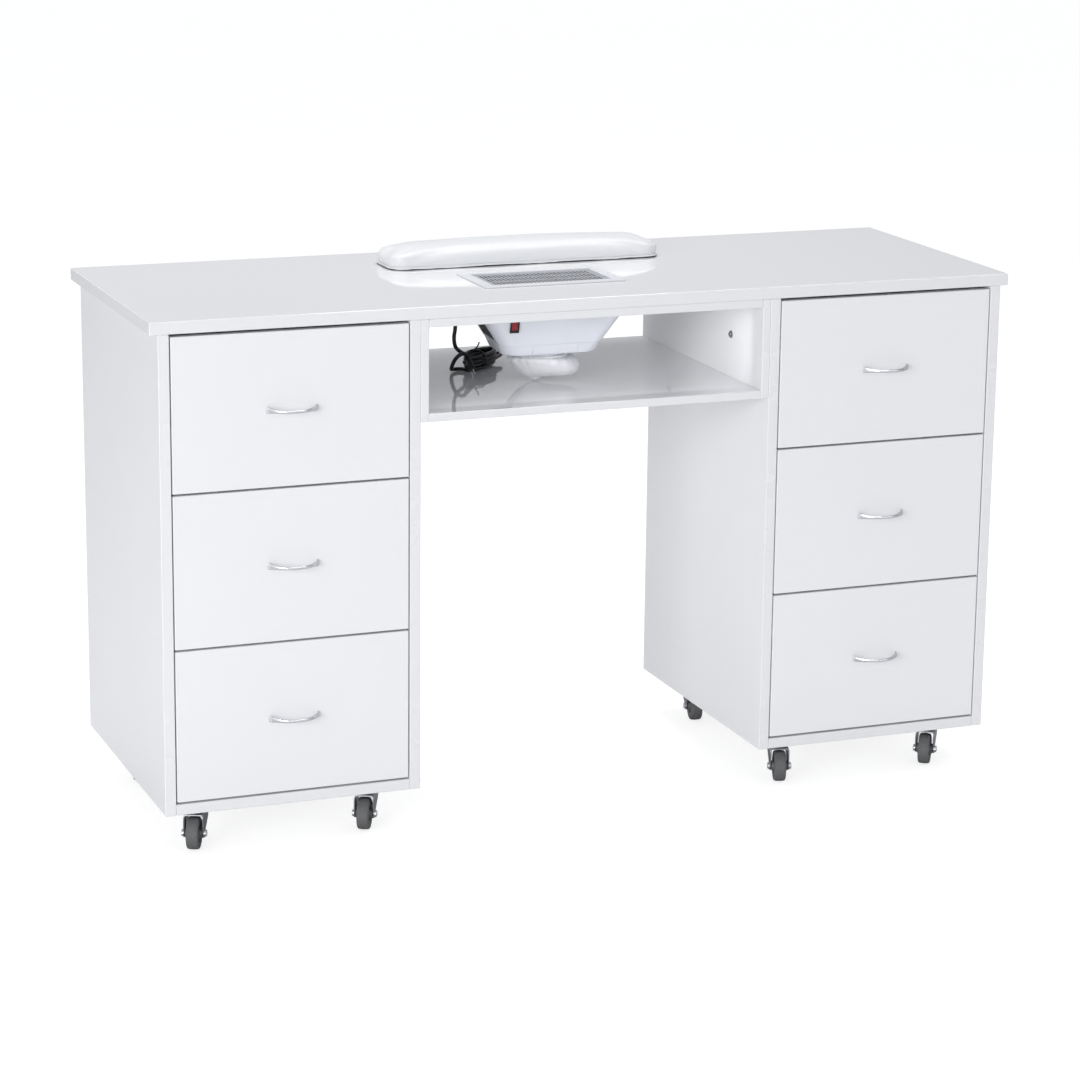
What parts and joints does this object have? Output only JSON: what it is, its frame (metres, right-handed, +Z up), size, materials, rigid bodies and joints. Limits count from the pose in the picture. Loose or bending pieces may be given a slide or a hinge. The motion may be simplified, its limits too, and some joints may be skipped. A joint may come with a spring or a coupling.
{
  "type": "manicure table",
  "caption": "White desk with two drawer pedestals on swivel casters, a shelf between them, a built-in dust extractor and a padded armrest.",
  "frame": {"origin": "on the floor, under the middle of the whole table, handles included", "axes": "+X to the right of a person facing the drawers, +Y to the armrest side, +Z up; the drawers open towards -Y"},
  "size_m": [1.34, 0.4928, 0.822],
  "materials": {
    "laminate": "glossy white laminate on board",
    "drawer_board": "matt white melamine on board",
    "chrome": "polished",
    "white_plastic": "smooth moulded",
    "black_plastic": "smooth moulded",
    "dark_plastic": "fine texture",
    "red_plastic": "smooth moulded",
    "leatherette": "fine grain with a soft sheen",
    "fabric": "plain weave cloth",
    "zinc": "bright zinc plate",
    "grille_steel": "satin",
    "motor_metal": "cast, satin",
    "rubber": "matt grey"
  },
  "bodies": {
    "table_frame": {"tabletop": "laminate", "left_pedestal_outer_side": "laminate", "left_pedestal_inner_side": "laminate", "left_pedestal_back": "laminate", "left_pedestal_bottom": "laminate", "right_pedestal_outer_side": "laminate", "right_pedestal_inner_side": "laminate", "right_pedestal_back": "laminate", "right_pedestal_bottom": "laminate", "centre_shelf": "laminate", "centre_left_side": "laminate", "centre_right_side": "laminate", "centre_front_rail": "laminate", "centre_back_rail": "laminate", "armrest_cushion": "leatherette", "armrest_base": "black_plastic", "vent_frame": "white_plastic", "vent_grille": "grille_steel", "extractor_housing": "white_plastic", "side_vent": "dark_plastic", "switch_frame": "black_plastic", "fan_motor": "motor_metal", "dust_bag": "fabric", "power_cord": "black_plastic"},
    "drawer_left_bottom": {"drawer_front_left_bottom": "laminate", "drawer_box_left_bottom": "drawer_board", "drawer_handle_left_bottom": "chrome"},
    "drawer_left_middle": {"drawer_front_left_middle": "laminate", "drawer_box_left_middle": "drawer_board", "drawer_handle_left_middle": "chrome"},
    "drawer_left_top": {"drawer_front_left_top": "laminate", "drawer_box_left_top": "drawer_board", "drawer_handle_left_top": "chrome"},
    "drawer_right_bottom": {"drawer_front_right_bottom": "laminate", "drawer_box_right_bottom": "drawer_board", "drawer_handle_right_bottom": "chrome"},
    "drawer_right_middle": {"drawer_front_right_middle": "laminate", "drawer_box_right_middle": "drawer_board", "drawer_handle_right_middle": "chrome"},
    "drawer_right_top": {"drawer_front_right_top": "laminate", "drawer_box_right_top": "drawer_board", "drawer_handle_right_top": "chrome"},
    "fan": {"fan_rotor": "black_plastic"},
    "rocker": {"rocker_switch": "red_plastic"},
    "fork_left_front_outer": {"caster_fork_left_front_outer": "zinc"},
    "fork_left_front_inner": {"caster_fork_left_front_inner": "zinc"},
    "fork_left_back_outer": {"caster_fork_left_back_outer": "zinc"},
    "fork_left_back_inner": {"caster_fork_left_back_inner": "zinc"},
    "fork_right_front_outer": {"caster_fork_right_front_outer": "zinc"},
    "fork_right_front_inner": {"caster_fork_right_front_inner": "zinc"},
    "fork_right_back_outer": {"caster_fork_right_back_outer": "zinc"},
    "fork_right_back_inner": {"caster_fork_right_back_inner": "zinc"},
    "wheel_left_front_outer": {"caster_wheel_left_front_outer": "rubber"},
    "wheel_left_front_inner": {"caster_wheel_left_front_inner": "rubber"},
    "wheel_left_back_outer": {"caster_wheel_left_back_outer": "rubber"},
    "wheel_left_back_inner": {"caster_wheel_left_back_inner": "rubber"},
    "wheel_right_front_outer": {"caster_wheel_right_front_outer": "rubber"},
    "wheel_right_front_inner": {"caster_wheel_right_front_inner": "rubber"},
    "wheel_right_back_outer": {"caster_wheel_right_back_outer": "rubber"},
    "wheel_right_back_inner": {"caster_wheel_right_back_inner": "rubber"}
  },
  "joints": [
    {"name": "slide_left_bottom", "type": "slide", "parent": "table_frame", "child": "drawer_left_bottom", "axis": [0, -1, 0], "range_m": [0, 0.3]},
    {"name": "slide_left_middle", "type": "slide", "parent": "table_frame", "child": "drawer_left_middle", "axis": [0, -1, 0], "range_m": [0, 0.3]},
    {"name": "slide_left_top", "type": "slide", "parent": "table_frame", "child": "drawer_left_top", "axis": [0, -1, 0], "range_m": [0, 0.3]},
    {"name": "slide_right_bottom", "type": "slide", "parent": "table_frame", "child": "drawer_right_bottom", "axis": [0, -1, 0], "range_m": [0, 0.3]},
    {"name": "slide_right_middle", "type": "slide", "parent": "table_frame", "child": "drawer_right_middle", "axis": [0, -1, 0], "range_m": [0, 0.3]},
    {"name": "slide_right_top", "type": "slide", "parent": "table_frame", "child": "drawer_right_top", "axis": [0, -1, 0], "range_m": [0, 0.3]},
    {"name": "fan_spin", "type": "hinge", "parent": "table_frame", "child": "fan", "pos_m": [-0.024, -0.0446, 0.718], "axis": [0, 0, 1], "continuous": true},
    {"name": "rocker_pivot", "type": "hinge", "parent": "table_frame", "child": "rocker", "pos_m": [-0.0915, -0.11342, 0.7288], "axis": [1, 0, 0], "range_deg": [0, 16]},
    {"name": "swivel_left_front_outer", "type": "hinge", "parent": "table_frame", "child": "fork_left_front_outer", "pos_m": [-0.596, -0.1586, 0.06], "axis": [0, 0, 1], "continuous": true},
    {"name": "swivel_left_front_inner", "type": "hinge", "parent": "table_frame", "child": "fork_left_front_inner", "pos_m": [-0.336, -0.1586, 0.06], "axis": [0, 0, 1], "continuous": true},
    {"name": "swivel_left_back_outer", "type": "hinge", "parent": "table_frame", "child": "fork_left_back_outer", "pos_m": [-0.596, 0.1734, 0.06], "axis": [0, 0, 1], "continuous": true},
    {"name": "swivel_left_back_inner", "type": "hinge", "parent": "table_frame", "child": "fork_left_back_inner", "pos_m": [-0.336, 0.1734, 0.06], "axis": [0, 0, 1], "continuous": true},
    {"name": "swivel_right_front_outer", "type": "hinge", "parent": "table_frame", "child": "fork_right_front_outer", "pos_m": [0.596, -0.1586, 0.06], "axis": [0, 0, 1], "continuous": true},
    {"name": "swivel_right_front_inner", "type": "hinge", "parent": "table_frame", "child": "fork_right_front_inner", "pos_m": [0.336, -0.1586, 0.06], "axis": [0, 0, 1], "continuous": true},
    {"name": "swivel_right_back_outer", "type": "hinge", "parent": "table_frame", "child": "fork_right_back_outer", "pos_m": [0.596, 0.1734, 0.06], "axis": [0, 0, 1], "continuous": true},
    {"name": "swivel_right_back_inner", "type": "hinge", "parent": "table_frame", "child": "fork_right_back_inner", "pos_m": [0.336, 0.1734, 0.06], "axis": [0, 0, 1], "continuous": true},
    {"name": "roll_left_front_outer", "type": "hinge", "parent": "fork_left_front_outer", "child": "wheel_left_front_outer", "pos_m": [-0.6053, -0.17854, 0.024], "axis": [0.9063, -0.4226, 0], "continuous": true},
    {"name": "roll_left_front_inner", "type": "hinge", "parent": "fork_left_front_inner", "child": "wheel_left_front_inner", "pos_m": [-0.34599, -0.1782, 0.024], "axis": [0.891, -0.454, 0], "continuous": true},
    {"name": "roll_left_back_outer", "type": "hinge", "parent": "fork_left_back_outer", "child": "wheel_left_back_outer", "pos_m": [-0.60206, 0.15225, 0.024], "axis": [0.9613, -0.2756, 0], "continuous": true},
    {"name": "roll_left_back_inner", "type": "hinge", "parent": "fork_left_back_inner", "child": "wheel_left_back_inner", "pos_m": [-0.34495, 0.1533, 0.024], "axis": [0.9135, -0.4067, 0], "continuous": true},
    {"name": "roll_right_front_outer", "type": "hinge", "parent": "fork_right_front_outer", "child": "wheel_right_front_outer", "pos_m": [0.5837, -0.17684, 0.024], "axis": [0.829, -0.5592, 0], "continuous": true},
    {"name": "roll_right_front_inner", "type": "hinge", "parent": "fork_right_front_inner", "child": "wheel_right_front_inner", "pos_m": [0.32884, -0.1794, 0.024], "axis": [0.9455, -0.3256, 0], "continuous": true},
    {"name": "roll_right_back_outer", "type": "hinge", "parent": "fork_right_back_outer", "child": "wheel_right_back_outer", "pos_m": [0.585, 0.15435, 0.024], "axis": [0.866, -0.5, 0], "continuous": true},
    {"name": "roll_right_back_inner", "type": "hinge", "parent": "fork_right_back_inner", "child": "wheel_right_back_inner", "pos_m": [0.33143, 0.15188, 0.024], "axis": [0.9781, -0.2079, 0], "continuous": true}
  ]
}
